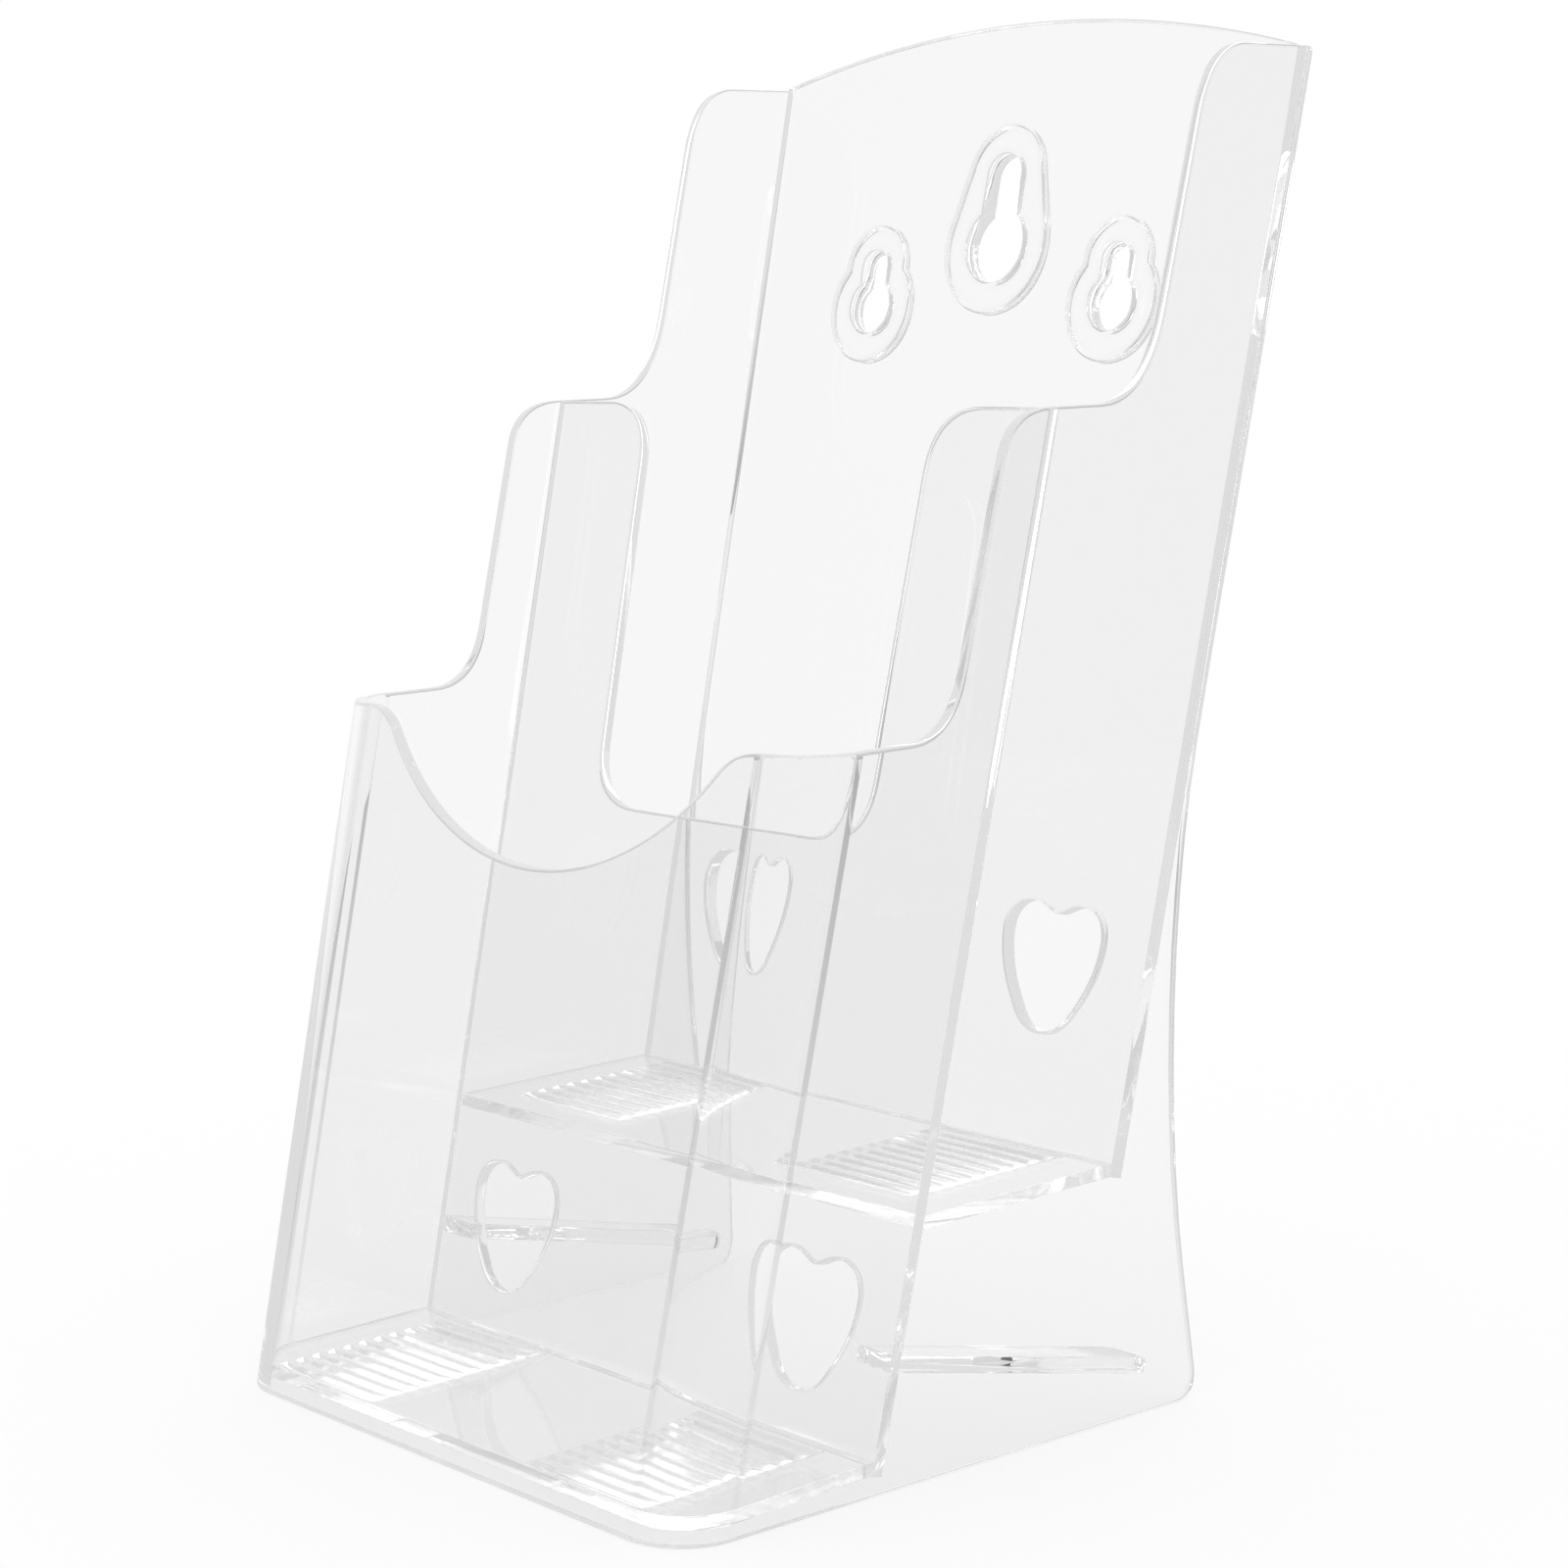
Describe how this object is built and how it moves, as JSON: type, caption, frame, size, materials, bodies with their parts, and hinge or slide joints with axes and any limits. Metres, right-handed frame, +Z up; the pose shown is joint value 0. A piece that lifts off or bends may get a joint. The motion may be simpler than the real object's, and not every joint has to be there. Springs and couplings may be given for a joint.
{
  "type": "magazine rack",
  "caption": "Clear tiered leaflet rack with a front and a rear pocket, ribbed pocket floors, finger cut-outs and a keyhole back for table or wall use.",
  "frame": {"origin": "middle of the box around the rack, on the table it stands on", "axes": "+Z up, the front of the rack faces -Y, +X to the right when looking at the rear from the front along +Y"},
  "size_m": [0.1158, 0.1243, 0.2131],
  "materials": {
    "clear_plastic": "clear moulded polystyrene, polished faces with a faint grey edge tint"
  },
  "bodies": {
    "root": {"left_side_wall": "clear_plastic", "right_side_wall": "clear_plastic", "front_panel": "clear_plastic", "pocket_floor": "clear_plastic", "floor_rib_pad_left": "clear_plastic", "floor_rib_pad_right": "clear_plastic", "middle_panel": "clear_plastic", "upper_shelf": "clear_plastic", "shelf_rib_pad_left": "clear_plastic", "shelf_rib_pad_right": "clear_plastic", "back_panel": "clear_plastic", "keyhole_collar_centre": "clear_plastic", "keyhole_collar_left": "clear_plastic", "keyhole_collar_right": "clear_plastic", "side_rail_left": "clear_plastic", "side_rail_right": "clear_plastic"}
  },
  "joints": []
}
